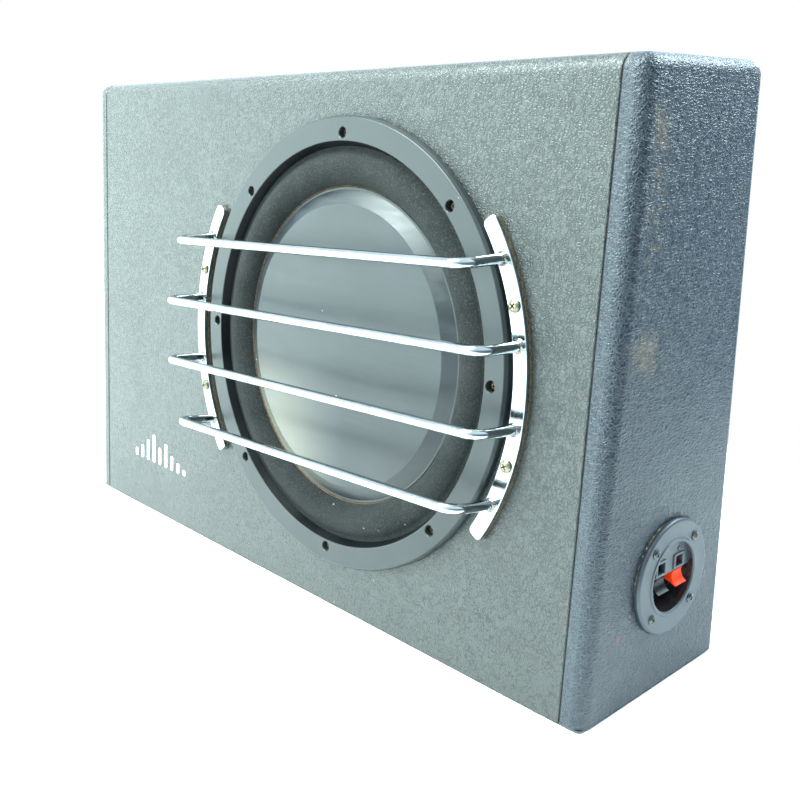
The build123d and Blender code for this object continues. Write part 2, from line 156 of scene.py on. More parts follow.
def inset(outline, distances):
    """An anticlockwise outline moved inwards, by one distance or by one for each point."""
    count = len(outline)
    moved = []
    for i, (here, distance) in enumerate(zip(outline, for_each(distances, count))):
        into = (here - outline[i - 1]).normalized()
        out = (outline[(i + 1) % count] - here).normalized()
        along = (into + out).normalized()
        inwards = Vector((-along.y, along.x, 0))
        moved.append(here + inwards * distance / max(0.6, along.dot(out)))
    return moved


def at_height(outline, height):
    """A flat outline lifted to a height."""
    return [Vector((point.x, point.y, height)) for point in outline]


def loft(rings, closed=True, first_cap=True, last_cap=True):
    """A skin over rings that have the same number of points."""
    shape = bmesh.new()
    rows = [[shape.verts.new(point) for point in ring] for ring in rings]
    for low, high in zip(rows, rows[1:]):
        for i in range(len(low) if closed else len(low) - 1):
            j = (i + 1) % len(low)
            shape.faces.new((low[i], low[j], high[j], high[i]))
    if first_cap:
        shape.faces.new(rows[0])
    if last_cap:
        shape.faces.new(rows[-1])
    return shape


def plate(outline, low, high, edge=0.5, steps=4):
    """A flat piece on an anticlockwise outline, with its upper edge rounded."""
    rings = [at_height(outline, low)]
    for k in range(steps + 1):
        angle = pi / 2 * k / steps
        ring = inset(outline, edge * (1 - cos(angle)))
        rings.append(at_height(ring, high - edge * (1 - sin(angle))))
    return loft(rings)


def circle(radius, steps, height=0):
    """Points round the Z axis."""
    return [polar(radius, 2 * pi * k / steps, height) for k in range(steps)]


def lathe(profile, steps=160, closed=True):
    """A profile of (radius, height), or of such vectors, turned about Z."""
    shape = bmesh.new()
    rings = []
    for radius, height, *_ in profile:
        ring = circle(radius, steps, height)
        on_axis = radius < 1e-6
        rings.append([shape.verts.new(point) for point in (ring[:1] if on_axis else ring)])
    pairs = list(zip(rings, rings[1:] + rings[:1]))
    for low, high in pairs if closed else pairs[:-1]:
        for k in range(steps):
            corners = []
            for ring, n in ((low, k), (low, k + 1), (high, k + 1), (high, k)):
                corner = ring[n % len(ring)]
                if corner not in corners:
                    corners.append(corner)
            if len(corners) > 2:
                shape.faces.new(corners)
    return shape


def tube(path, radius, sides):
    """A round bar along a path, with flat ends."""
    rings = []
    across = None
    for i, here in enumerate(path):
        before = path[max(i - 1, 0)]
        after = path[min(i + 1, len(path) - 1)]
        along = (after - before).normalized()
        if across is None:
            across = along.orthogonal().normalized()
        across = (across - along * along.dot(across)).normalized()
        up = along.cross(across)
        rings.append([
            here + (across * cos(2 * pi * k / sides) + up * sin(2 * pi * k / sides)) * radius
            for k in range(sides)
        ])
    return loft(rings)


def joined(*shapes):
    """Several shapes as one."""
    whole = bmesh.new()
    for shape in shapes:
        part = bpy.data.meshes.new("part")
        shape.to_mesh(part)
        shape.free()
        whole.from_mesh(part)
        bpy.data.meshes.remove(part)
    return whole


def shifted(shape, *offset, turn=None):
    """A shape turned by a matrix, if one is given, and moved."""
    if turn is not None:
        shape.transform(turn.to_4x4())
    shape.transform(Matrix.Translation(offset))
    return shape


def mesh_of(name, shape):
    """A mesh from a shape, with its faces turned outwards."""
    bmesh.ops.recalc_face_normals(shape, faces=shape.faces)
    mesh = bpy.data.meshes.new(name)
    shape.to_mesh(mesh)
    shape.free()
    return mesh


def placed(name, data):
    """A new object in the scene."""
    thing = bpy.data.objects.new(name, data)
    bpy.context.scene.collection.objects.link(thing)
    return thing


def carved(shape, *cutters):
    """A shape with the volumes of the cutters taken away."""
    target = placed("target", mesh_of("target", shape))
    tools = [placed("tool", mesh_of("tool", cutter)) for cutter in cutters]
    for tool in tools:
        cut = target.modifiers.new("cut", "BOOLEAN")
        cut.object = tool
        cut.operation = "DIFFERENCE"
        cut.solver = "EXACT"
    result = bmesh.new()
    result.from_object(target, bpy.context.evaluated_depsgraph_get())
    for thing in (target, *tools):
        mesh = thing.data
        bpy.data.objects.remove(thing)
        bpy.data.meshes.remove(mesh)
    return result


def roughened(shape, amount, size, where=lambda point: True):
    """Moves points that pass a test along their normals by noise, amount high, size wide."""
    shape.normal_update()
    for vertex in shape.verts:
        lift = noise.noise(vertex.co / size) * amount * where(vertex.co)
        vertex.co += vertex.normal * lift
    return shape


def box(low, high):
    """A plain block to cut with."""
    shape = bmesh.new()
    bmesh.ops.create_cube(shape, size=1)
    low, high = Vector(low), Vector(high)
    shape.transform(Matrix.Translation((low + high) / 2) @ Matrix.Diagonal((*(high - low), 1)))
    return shape


def second_look(shape, where):
    """Faces whose radius and height pass a test get the second of the piece's looks."""
    for face in shape.faces:
        centre = face.calc_center_median()
        face.material_index = int(where(centre.xy.length, centre.z))


def piece(name, shape, where, slot, nodes=(), body="cabinet", sharp=32, looks=()):
    """Turns a shape into a piece of the object, in place of the CAD nodes it stands for.

    It has the finish of its slot, or the finishes named in looks. With no body, it is
    left unattached.
    """
    mesh = mesh_of(name, shape)
    mesh.transform(where)
    mesh.shade_smooth()
    mesh.set_sharp_from_angle(angle=radians(sharp))
    for look in looks or [slot]:
        mesh.materials.append(finishes[look])
    thing = placed(name, mesh)
    thing.modifiers.new("weighted", "WEIGHTED_NORMAL").keep_sharp = True
    if nodes:
        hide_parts(*nodes)
    if body:
        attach(thing, body)
    return thing


# -------- finishes
class Nodes:
    """Short ways to add nodes to a tree. 'spot' holds the coordinates for its textures."""

    def __init__(self, tree, coordinates):
        self.tree = tree
        self.spot = self.node("ShaderNodeTexCoord").outputs[coordinates]

    def node(self, kind, inputs=(), **settings):
        """A node with its settings, and its inputs as (socket, value or output) pairs."""
        made = self.tree.nodes.new(kind)
        for setting, value in settings.items():
            setattr(made, setting, value)
        for socket, value in inputs:
            if isinstance(value, bpy.types.NodeSocket):
                self.tree.links.new(value, made.inputs[socket])
            else:
                made.inputs[socket].default_value = value
        return made

    def math(self, operation, a, b):
        return self.node("ShaderNodeMath", ((0, a), (1, b)), operation=operation).outputs[0]

    def times(self, a, b):
        return self.math("MULTIPLY", a, b)

    def vector(self, operation, a, b):
        return self.node("ShaderNodeVectorMath", ((0, a), (1, b)), operation=operation).outputs[0]

    def axis(self, name):
        return self.node("ShaderNodeSeparateXYZ", ((0, self.spot),)).outputs[name]

    def between(self, value, low, high, to_low=0.0, to_high=1.0):
        """Maps low..high smoothly to to_low..to_high and holds the ends."""
        inputs = ((0, value), (1, low), (2, high), (3, to_low), (4, to_high))
        return self.node("ShaderNodeMapRange", inputs, interpolation_type="SMOOTHSTEP").outputs[0]


class Finish(Nodes):
    """A material and the nodes that feed it. Textures lie in the object's frame, in metres."""

    def __init__(self, name, **sockets):
        self.material = bpy.data.materials.new(name)
        self.material.use_nodes = True
        super().__init__(self.material.node_tree, "Object")
        self.shader = self.tree.nodes["Principled BSDF"]
        self.bump = None
        for socket, value in sockets.items():
            self.shader.inputs[socket.replace("_", " ")].default_value = value

    def feed(self, socket, output):
        """Links an output to a socket of the shader."""
        self.tree.links.new(output, self.shader.inputs[socket])

    def made(self, colour, height, depth):
        """The material, once it has its colour and its relief."""
        self.feed("Base Color", colour)
        self.relief(height, depth)
        return self.material

    def stretched(self, x, y, z, spot=None):
        """The coordinates scaled along each axis: under 1 draws a pattern out."""
        return self.vector("MULTIPLY", spot or self.spot, (x, y, z))

    def noise(self, size, detail=3.0, rough=0.5, spot=None, colour=False):
        """Cloudy noise whose features are about 'size' metres across."""
        inputs = (("Vector", spot or self.spot), ("Scale", 1 / size), ("Detail", detail),
                  ("Roughness", rough))
        made = self.node("ShaderNodeTexNoise", inputs)
        return made.outputs["Color" if colour else "Fac"]

    def warped(self, size, amount, spot=None):
        """The coordinates pushed about by up to half of 'amount' metres."""
        push = self.vector("SUBTRACT", self.noise(size, 2, 0.5, spot, colour=True), (0.5,) * 3)
        push = self.vector("MULTIPLY", push, (amount,) * 3)
        return self.vector("ADD", spot or self.spot, push)

    def cells(self, size, feature="DISTANCE_TO_EDGE", spot=None, output="Distance"):
        inputs = (("Vector", spot or self.spot), ("Scale", 1 / size))
        return self.node("ShaderNodeTexVoronoi", inputs, feature=feature).outputs[output]

    def mix(self, factor, a, b):
        """Blends two colours, on the mix node's colour sockets."""
        inputs = ((0, factor), (6, colour4(a)), (7, colour4(b)))
        return self.node("ShaderNodeMix", inputs, data_type="RGBA").outputs[2]

    def clouded(self, dark, light, size, detail=4, rough=0.6):
        """A colour that drifts between two tones."""
        return self.mix(self.between(self.noise(size, detail, rough), 0.35, 0.7), dark, light)

    def patch(self, soft, **ranges):
        """1 inside a box of the object's frame, given as X=(low, high) and so on, in metres."""
        inside = None
        for name, (low, high) in ranges.items():
            value = self.axis(name)
            rise = self.between(value, low - soft, low + soft)
            fall = self.between(value, high - soft, high + soft, 1.0, 0.0)
            band = self.times(rise, fall)
            inside = band if inside is None else self.times(inside, band)
        return inside

    def specks(self, spacing, size, share):
        """Small round specks on a share of the cells of a grid 'spacing' wide."""
        near = self.between(self.cells(spacing, "F1"), size / spacing * 0.6, size / spacing, 1, 0)
        draw = self.cells(spacing, "F1", output="Color")
        red = self.node("ShaderNodeSeparateColor", ((0, draw),)).outputs[0]
        return self.times(near, self.math("LESS_THAN", red, share))

    def relief(self, height, depth):
        """Adds a height map to the surface's bump, 'depth' metres deep."""
        inputs = [("Height", height), ("Distance", depth), ("Strength", 1.0)]
        if self.bump is not None:
            inputs.append(("Normal", self.bump))
        self.bump = self.node("ShaderNodeBump", inputs).outputs[0]
        self.feed("Normal", self.bump)


def colour4(value):
    """A colour with its alpha, or a colour socket as it is."""
    if isinstance(value, bpy.types.NodeSocket):
        return value
    return (*value, 1.0)


def leather(finish, depth, draw):
    """Embossed grain: uneven pebbles with thin creases, some of which fade out.

    'draw' scales the grain along each axis. Returns the creases as 0 and the rest as 1.
    """
    cell = 0.0019
    spot = finish.warped(0.004, 0.0026, finish.stretched(*draw))
    edge = finish.cells(cell, spot=spot)
    longer = finish.cells(cell * 1.9, spot=finish.warped(0.007, 0.0045))
    fade = finish.between(finish.noise(0.005, 3, 0.6), 0.45, 0.65)
    crease = finish.math("MAXIMUM", finish.between(edge, 0.0, 0.20), fade)
    creases = finish.times(crease, finish.between(longer, 0.0, 0.09))
    pebbles = finish.between(edge, 0.0, 0.5)
    height = finish.math("ADD", finish.times(pebbles, 0.5), finish.times(creases, 0.6))
    height = finish.math("ADD", height, finish.times(finish.noise(0.0010, 3, 0.6), 0.35))
    finish.relief(height, depth)
    return creases


def vinyl(name, dark, light, crease_shade_and_glint, right_end=False):
    """Grained vinyl with dust, and painted light in its creases. The right-hand end is also scuffed
    and gathered at its fold.
    """
    finish = Finish(name, Specular_IOR_Level=0.42)
    depth, draw = (0.00034, (1, 0.45, 1)) if right_end else (0.00021, (1, 1, 1))
    creases = leather(finish, depth, draw)
    colour = finish.clouded(dark, light, 0.16, 3, 0.5)
    # Painted light: the creases are mixed towards the crease tone, a painted shade on the front
    # vinyl and a painted glint on the right end.
    colour = finish.mix(finish.between(creases, 0.0, 0.8, 0.55, 0.0), colour, crease_shade_and_glint)
    dust = finish.times(finish.specks(0.014, 0.0007, 0.16), 0.7)
    colour = finish.mix(dust, colour, (0.30, 0.29, 0.25))
    if right_end:
        colour = scuffs(finish, colour)
        fold = finish.patch(0.002, X=(0.289, 0.2975), Y=(-0.080, -0.030))
        puckers = finish.noise(0.0032, 2, 0.5, finish.stretched(0.5, 0.5, 1.5))
        finish.relief(finish.times(fold, puckers), 0.0007)
    else:
        finish.feed("Specular IOR Level", finish.between(creases, 0.0, 0.6, 0.33, 0.5))
    finish.feed("Base Color", colour)
    rough = finish.between(finish.noise(0.05, 4, 0.6), 0.3, 0.7, 0.34, 0.40)
    finish.feed("Roughness", rough)
    return finish.material


def scuffs(finish, colour):
    """Brown rub marks beside the front fold of the right-hand end, and a red stain."""
    end_slab = (0.28, 0.31)
    broken = finish.noise(0.006, 5, 0.7)
    marks = (  # softness, Y, Z, level of the noise where wear starts, how strong
        (0.005, (-0.037, -0.024), (0.335, 0.360), 0.40, 0.85),
        (0.006, (-0.040, -0.024), (0.275, 0.335), 0.45, 0.70),
        (0.006, (-0.044, -0.020), (0.213, 0.236), 0.40, 0.75),
        (0.008, (-0.015, 0.022), (0.190, 0.250), 0.56, 0.40),
    )
    for soft, across, upright, start, most in marks:
        area = finish.patch(soft, X=end_slab, Y=across, Z=upright)
        worn = finish.between(broken, start, start + 0.14, 0, most)
        colour = finish.mix(finish.times(area, worn), colour, (0.085, 0.066, 0.042))
    stain = finish.patch(0.0012, X=end_slab, Y=(-0.0430, -0.0400), Z=(0.0490, 0.0530))
    return finish.mix(finish.times(stain, 0.6), colour, (0.16, 0.02, 0.03))


def plastic(name, dark, light, rough, grain=0.0006, depth=0.00002, cloud=0.04, **sockets):
    """Moulded plastic: a fine texture, faint clouding and some dust."""
    finish = Finish(name, **sockets)
    colour = finish.clouded(dark, light, cloud)
    dust = finish.times(finish.specks(0.016, 0.0006, 0.12), 0.6)
    colour = finish.mix(dust, colour, (0.5, 0.46, 0.38))
    worn = finish.noise(cloud, 5, 0.65)
    finish.feed("Roughness", finish.between(worn, 0.3, 0.7, rough - 0.06, rough + 0.06))
    return finish.made(colour, finish.noise(grain, 3), depth)


def metal(name, dark, light, rough, rusty=0, grain=0.0008, depth=0.00001):
    """Metal or plating, with a slight waviness and, where given, spots of rust."""
    finish = Finish(name, Metallic=1.0)
    colour = finish.clouded(dark, light, 0.02)
    worn = finish.noise(0.012, 5, 0.6)
    roughness = finish.between(worn, 0.3, 0.7, rough * 0.7, rough * 1.3)
    if rusty:
        rust = finish.specks(0.012, 0.0011, rusty)
        colour = finish.mix(finish.times(rust, 0.8), colour, (0.30, 0.15, 0.05))
        roughness = finish.math("ADD", roughness, finish.times(rust, 0.4))
    finish.feed("Roughness", roughness)
    return finish.made(colour, finish.noise(grain, 3), depth)


def rough_stuff(name, dark, light, size, depth, rough, draw=(1, 1, 1)):
    """Wood, paper, foam, cloth and the like: a noisy colour and surface."""
    finish = Finish(name, Roughness=rough, Specular_IOR_Level=0.3)
    grain = finish.noise(size, 5, 0.65, finish.stretched(*draw))
    return finish.made(finish.mix(finish.between(grain, 0.35, 0.65), dark, light), grain, depth)


def cap_finish():
    """Satin lacquer with faint wiping streaks, dust specks and a painted highlight, warm like dust,
    over the lower left.
    """
    finish = Finish("cap_lacquer", Specular_IOR_Level=0.38)
    streaks = finish.noise(0.010, 5, 0.6, finish.stretched(0.12, 1, 1.2))
    colour = finish.clouded((0.008, 0.012, 0.015), (0.012, 0.017, 0.021), 0.06)
    wiped = finish.between(streaks, 0.45, 0.75, 0, 0.25)
    colour = finish.mix(wiped, colour, (0.040, 0.046, 0.046))
    colour = finish.mix(finish.specks(0.022, 0.0008, 0.16), colour, (0.6, 0.52, 0.38))
    # Painted highlight: the lower left is lightened in a smooth gradient towards a warm pale tone.
    centre = driver.translation
    leftwards = finish.between(finish.axis("X"), centre.x - 0.090, centre.x + 0.015, 1, 0)
    downwards = finish.between(finish.axis("Z"), centre.z - 0.095, centre.z + 0.010, 1, 0)
    lower_left_highlight = finish.times(finish.times(leftwards, downwards), 0.8)
    colour = finish.mix(lower_left_highlight, colour, (0.150, 0.145, 0.118))
    finish.feed("Roughness", finish.between(streaks, 0.35, 0.65, 0.30, 0.44))
    return finish.made(colour, finish.noise(0.0007, 3), 0.000012)


def foam_roll():
    """Foam roll of the surround: open pores, a pale speckle and some dust."""
    finish = Finish("roll_foam", Roughness=0.95, Specular_IOR_Level=0.2)
    pores = finish.cells(0.0011, "F1", spot=finish.warped(0.002, 0.0008))
    colour = finish.clouded((0.006, 0.008, 0.008), (0.011, 0.013, 0.013), 0.03, 5, 0.65)
    speckle = finish.between(finish.noise(0.0012, 2, 0.7), 0.50, 0.66, 0, 0.5)
    colour = finish.mix(speckle, colour, (0.034, 0.037, 0.036))
    colour = finish.mix(finish.specks(0.013, 0.0009, 0.2), colour, (0.16, 0.145, 0.115))
    return finish.made(colour, finish.between(pores, 0.1, 0.6), 0.00016)


def cup_pad_foam():
    """Dark foam, with tan dirt gathered along its upper front side."""
    finish = Finish("cup_pad_foam", Roughness=0.95, Specular_IOR_Level=0.2)
    y, z = cup_centre.y, cup_centre.z
    dirty = finish.patch(0.004, Y=(y - 0.045, y - 0.012), Z=(z + 0.004, z + 0.045))
    dirt = finish.between(finish.noise(0.0025, 4, 0.7), 0.40, 0.58, 0, 0.9)
    colour = finish.mix(finish.noise(0.0012, 4), (0.010, 0.011, 0.012), (0.035, 0.035, 0.034))
    colour = finish.mix(finish.times(dirty, dirt), colour, (0.30, 0.24, 0.15))
    return finish.made(colour, finish.noise(0.0012, 4), 0.0003)


def glossy_black():
    """Polished plastic of the terminal's bowl, with rubbed scratches and a painted warm reflection,
    mottled, over the lower left.
    """
    finish = Finish("bowl_plastic", Coat_Weight=0.6, Coat_Roughness=0.08)
    scratches = finish.noise(0.0012, 4, 0.6, finish.stretched(1, 0.2, 1))
    cloudy = finish.between(finish.noise(0.012, 4, 0.6), 0.4, 0.75)
    colour = finish.mix(cloudy, (0.012, 0.012, 0.014), (0.040, 0.034, 0.032))
    y, z = cup_centre.y, cup_centre.z
    # Painted reflection: the lower left is lightened towards a warm brown, mottled by noise.
    reflection_patch = finish.patch(0.003, Y=(y - 0.021, y - 0.006), Z=(z - 0.022, z - 0.006))
    dust = finish.between(finish.noise(0.004, 4, 0.7), 0.45, 0.65, 0, 0.7)
    colour = finish.mix(finish.times(reflection_patch, dust), colour, (0.22, 0.17, 0.11))
    finish.feed("Roughness", finish.between(scratches, 0.35, 0.7, 0.10, 0.20))
    return finish.made(colour, scratches, 0.00001)


finishes = {
    # The front vinyl's last tone is a painted shade in its creases.
    "vinyl": vinyl("vinyl", (0.019, 0.024, 0.024), (0.022, 0.028, 0.027), (0.003, 0.004, 0.005)),
    # The right end's darker, bluer tones are a painted shaded copy of the front's vinyl, and its
    # pale crease tone is a painted glint. Its scuffs are real wear.
    "end_vinyl": vinyl(
        "end_vinyl", (0.006, 0.010, 0.019), (0.009, 0.015, 0.024), (0.028, 0.042, 0.052),
        right_end=True,
    ),
    "cone_plastic": cap_finish(),
    "roll_foam": foam_roll(),
    "bowl_plastic": glossy_black(),
    "cup_pad_foam": cup_pad_foam(),
}
plastics = {  # dark tone, light tone, roughness and further settings
    "floor_plastic": ((0.024, 0.036, 0.044), (0.034, 0.047, 0.056), 0.45, {}),
    "ring_plastic": (
        (0.015, 0.019, 0.021), (0.019, 0.024, 0.026), 0.34, {"Specular_IOR_Level": 0.3},
    ),
    # Painted shade: a near-black, dull copy of the ring plastic for the ring's inner wall.
    "ring_wall": (
        (0.002, 0.0025, 0.003), (0.005, 0.006, 0.007), 0.35, {"Specular_IOR_Level": 0.08},
    ),
    "basket_paint": (
        (0.012, 0.013, 0.014), (0.020, 0.021, 0.022), 0.42, {"grain": 0.0009, "depth": 0.00003},
    ),
    "cup_plastic": ((0.016, 0.024, 0.034), (0.022, 0.032, 0.044), 0.42, {"cloud": 0.02}),
    "lever_black_plastic": (
        (0.003, 0.004, 0.005), (0.007, 0.008, 0.010), 0.30, {"cloud": 0.006, "IOR": 1.2},
    ),
    "lever_red_plastic": (
        (0.72, 0.030, 0.004), (0.80, 0.045, 0.006), 0.42,
        {"cloud": 0.006, "Specular_IOR_Level": 0.1},
    ),
    "wire_red": ((0.45, 0.02, 0.015), (0.55, 0.035, 0.02), 0.4, {}),
    "wire_black": ((0.012, 0.012, 0.013), (0.022, 0.022, 0.024), 0.4, {}),
}
for name, (dark, light, rough, settings) in plastics.items():
    finishes[name] = plastic(name, dark, light, rough, **settings)
metals = {  # dark tone, light tone, roughness, share of rust spots, grain, depth
    "plated_steel": ((0.30, 0.33, 0.35), (0.38, 0.41, 0.43), 0.10, 0.05, 0.006, 0.00004),
    "zinc_screw": ((0.13, 0.115, 0.08), (0.21, 0.19, 0.14), 0.28, 0.12),
    "weld_steel": ((0.10, 0.10, 0.095), (0.20, 0.19, 0.17), 0.22, 0.15, 0.0009, 0.00008),
    "dark_screw": ((0.06, 0.045, 0.03), (0.13, 0.10, 0.07), 0.45),
    "grey_screw": ((0.07, 0.072, 0.072), (0.12, 0.12, 0.115), 0.34, 0.08),
    "motor_steel": ((0.42, 0.43, 0.44), (0.56, 0.57, 0.58), 0.32),
    "former_foil": ((0.60, 0.61, 0.62), (0.74, 0.75, 0.76), 0.28),
    "copper_winding": ((0.55, 0.22, 0.10), (0.75, 0.34, 0.17), 0.3, 0, 0.0004, 0.00005),
    "tag_brass": ((0.66, 0.47, 0.18), (0.80, 0.62, 0.30), 0.25),
    "lead_braid": ((0.50, 0.46, 0.40), (0.72, 0.68, 0.62), 0.4, 0, 0.0005, 0.0002),
    "spring_steel": ((0.50, 0.50, 0.51), (0.68, 0.68, 0.69), 0.25),
}
for name, recipe in metals.items():
    finishes[name] = metal(name, *recipe)
rough_stuffs = {  # dark tone, light tone, size of the grain, depth, roughness, draw
    # Near-black glue for the seams, also used as painted shade in the screws' cross recesses.
    "glue": ((0.004, 0.004, 0.005), (0.010, 0.010, 0.010), 0.002, 0.00005, 0.6),
    "brown_glue": ((0.035, 0.022, 0.013), (0.12, 0.075, 0.04), 0.002, 0.0001, 0.6),
    "fibreboard": ((0.30, 0.19, 0.10), (0.42, 0.29, 0.17), 0.0018, 0.0001, 0.85),
    "batten_pine": ((0.52, 0.34, 0.17), (0.68, 0.49, 0.28), 0.004, 0.0001, 0.7, (0.04, 1, 1)),
    "mark_print": ((0.72, 0.74, 0.74), (0.86, 0.88, 0.88), 0.0016, 0.00002, 0.5),
    "paper_cone": ((0.016, 0.016, 0.017), (0.035, 0.034, 0.033), 0.0012, 0.00012, 0.9),
    "sealing_foam": ((0.020, 0.021, 0.022), (0.045, 0.045, 0.044), 0.0010, 0.0002, 0.95),
    "pad_foam": ((0.020, 0.015, 0.010), (0.11, 0.080, 0.045), 0.0012, 0.0004, 0.95),
    "ferrite": ((0.022, 0.022, 0.024), (0.042, 0.042, 0.045), 0.003, 0.00005, 0.6),
    "spider_cloth": ((0.36, 0.25, 0.11), (0.52, 0.38, 0.20), 0.0007, 0.0002, 0.9),
    "tag_board": ((0.16, 0.07, 0.03), (0.24, 0.12, 0.05), 0.002, 0.00004, 0.6),
}
for name, recipe in rough_stuffs.items():
    finishes[name] = rough_stuff(name, *recipe)

# -------- cabinet
corner_radius = 10.5  # of the rounded top edge in front
back_corner = 8.6  # and of the one at the back
skin = 1.0  # thickness of the vinyl
seam_roll = 1.2  # the vinyl's edge rolls into the seam
body_tuck = 3.0  # how deep the hidden edge of the body's skin goes
end_tuck = 2.6  # and that of each end's
front_low = wrap_low.y / MM
back = wrap_high.y / MM
top = wrap_high.z / MM
low = wrap_low.z / MM
front_top = front_low + (top - low) * tan(lean)
end_face = cabinet_high.x / MM
seam_end = cabinet_low.x / MM  # the end vinyl starts here
wrap_end = wrap_high.x / MM
driver_opening = 143.5
cup_opening = 26.2
rolled_edge = [  # the vinyl's edge at the seam, as (way from the seam, depth)
    (seam_roll * (1 - cos(pi / 2 * k / 4)), seam_roll * (1 - sin(pi / 2 * k / 4)))
    for k in range(5)
]

# The cabinet from the right-hand end, as (y, z), anticlockwise from the back's foot.
end_outline = rounded(
    [(back, low), (back, top), (front_top, top), (front_low, low)],
    [0, back_corner, corner_radius, 0],
)


def side_ring(x, inwards):
    """The cabinet's outline in the plane X = x, moved inwards, its feet kept level."""
    distances = for_each(inwards, len(end_outline))
    moved = inset(end_outline, distances)
    moved[0] = Vector((back - distances[0], low, 0))
    moved[-1] = Vector((front_low + distances[-1] / cos(lean), low, 0))
    return [Vector((x, point.x, point.y)) for point in moved]


def holed_face(shape, corners, where, radius, steps):
    """Fills a flat face that has a round hole in it, centred on another plane's origin."""
    hole = [
        shape.verts.new(Matrix.Scale(1 / MM, 4) @ (where @ point))
        for point in circle(radius, steps)
    ]
    edges = []
    for ring in (corners, hole):
        for a, b in zip(ring, ring[1:] + ring[:1]):
            edges.append(shape.edges.get((a, b)) or shape.edges.new((a, b)))
    bmesh.ops.triangle_fill(shape, use_beauty=True, edges=edges)


def soft_feet(shape):
    """Rounds the lower edges where the vinyl folds under, kept within the end faces."""
    edges = [
        edge for edge in shape.edges
        if all(abs(vertex.co.z - low) < 1e-4 for vertex in edge.verts) and not edge.is_boundary
    ]
    bmesh.ops.bevel(shape, geom=edges, offset=0.8, segments=3, profile=0.5, affect="EDGES")
    for vertex in shape.verts:
        vertex.co.x = min(end_face, max(-end_face, vertex.co.x))
    return shape


def body_wrap():
    """The vinyl round the front, the top and the back."""
    places = [(-wrap_end, body_tuck)] + [(-wrap_end + way, depth) for way, depth in rolled_edge]
    places += [(-x, inwards) for x, inwards in reversed(places)]
    shape = bmesh.new()
    rows = [[shape.verts.new(point) for point in side_ring(*each)] for each in places]
    panel = len(places) // 2 - 1  # the long stretch between the seams
    for n, (left, right) in enumerate(zip(rows, rows[1:])):
        front_face = len(left) - 2
        for i in range(len(left) - 1):
            if (n, i) != (panel, front_face):
                shape.faces.new((left[i], left[i + 1], right[i + 1], right[i]))
        shape.faces.new((left[0], right[0], right[-1], left[-1]))
    left, right = rows[panel], rows[panel + 1]
    corners = [left[-2], left[-1], right[-1], right[-2]]
    holed_face(shape, corners, driver, driver_opening, 180)
    return shape


def end_wrap(side):
    """The vinyl over one end panel: a rolled seam, a bullnose and a flat face."""
    back_edge, front_edge, top_edge = 6.0, 10.2, 8.4
    radii = []
    for point in end_outline:
        forward = min(1, max(0, (back - point.x) / (back - front_top)))
        height = min(1, max(0, (point.y - (top - corner_radius)) / corner_radius))
        edge = back_edge + (front_edge - back_edge) * forward
        radii.append(edge + (top_edge - edge) * height)
    rings = [side_ring(seam_end, end_tuck)]
    rings += [side_ring(seam_end + way, depth) for way, depth in rolled_edge]
    steps = 10
    for k in range(steps + 1):
        angle = pi / 2 * k / steps
        ring = side_ring(0, [radius * (1 - cos(angle)) for radius in radii])
        for point, radius in zip(ring, radii):
            point.x = end_face - radius * (1 - sin(angle))
        rings.append(ring)
    for ring in rings:
        for point in ring:
            point.x *= side
    shape = bmesh.new()
    rows = [[shape.verts.new(point) for point in ring] for ring in rings]
    for inner, outer in zip(rows, rows[1:]):
        for i in range(len(inner) - 1):
            shape.faces.new((inner[i], inner[i + 1], outer[i + 1], outer[i]))
        shape.faces.new((inner[0], outer[0], outer[-1], inner[-1]))
    if side > 0:
        holed_face(shape, rows[-1], cup, cup_opening, 72)
    else:
        shape.faces.new(rows[-1])
    return soft_feet(shape)


def seam_band(side):
    """The glued joint that shows dark between the two skins."""
    overlap = 1.4  # how far it runs under each skin
    shallow, deep = skin - 0.06, skin + 0.3
    under_body, under_end = wrap_end - overlap, seam_end + overlap
    section = ((under_body, deep), (under_body, shallow), (under_end, shallow), (under_end, deep))
    rings = [side_ring(side * x, depth) for x, depth in section]
    return loft(rings, closed=False, first_cap=False, last_cap=False)


cabinet = Matrix.Scale(MM, 4)
piece("body_wrap", body_wrap(), cabinet, "vinyl", ["body_vinyl"], sharp=28)
piece(
    "end_wrap_right", end_wrap(1), cabinet, "vinyl", ["right_end_vinyl"],
    sharp=28, looks=["end_vinyl"],
)
piece("end_wrap_left", end_wrap(-1), cabinet, "vinyl", ["left_end_vinyl"], sharp=28)
for name, side in (("left", -1), ("right", 1)):
    piece(f"seam_glue_{name}", seam_band(side), cabinet, "vinyl", looks=["glue"])


# -------- screws
def screw_head(radius, height, recess):
    """A pan head with a cross recess, on a short shank."""
    shank = 1.2
    dome = rounded(
        [
            (0, height), (radius * 0.55, height), (radius, height * 0.45), (radius, 0),
            (shank, 0), (shank, -2), (0, -2),
        ],
        [0, radius * 0.5, height * 0.35, 0.15, 0, 0, 0],
    )
    head = lathe(dome, 40, closed=False)
    slot_half = recess * 0.22
    cutters = []
    for along, across in ((recess, slot_half), (slot_half, recess)):
        corners = [(-along, -across), (along, -across), (along, across), (-along, across)]
        cutters.append(loft([
            [Vector((x * 0.45, y * 0.45, height * 0.15)) for x, y in corners],
            [Vector((x * 1.05, y * 1.05, height + 0.3)) for x, y in corners],
        ]))
    return carved(head, *cutters)


def screws(name, where, places, seat, size, finish, node):
    """A screw head at each place, its cross painted dark as shade and turned differently each time.

    The size is its radius, its height and half the length of its cross.
    """
    radius, height, recess = size
    for n, (x, y) in enumerate(places, start=1):
        head = screw_head(radius, height, recess)
        # Painted shade: the faces inside the cross recess take the near-black glue finish.
        second_look(head, lambda way, level: way < recess * 1.05 and 0 < level < height * 0.75)
        head = shifted(head, x, y, seat, turn=Matrix.Rotation(0.9 * n * n, 3, "Z"))
        piece(f"{name}_{n}", head, where, finish, [node], looks=[finish, "glue"])


def around(radius, *angles):
    """Places on a circle, at angles in degrees."""
    return [(radius * cos(radians(a)), radius * sin(radians(a))) for a in angles]


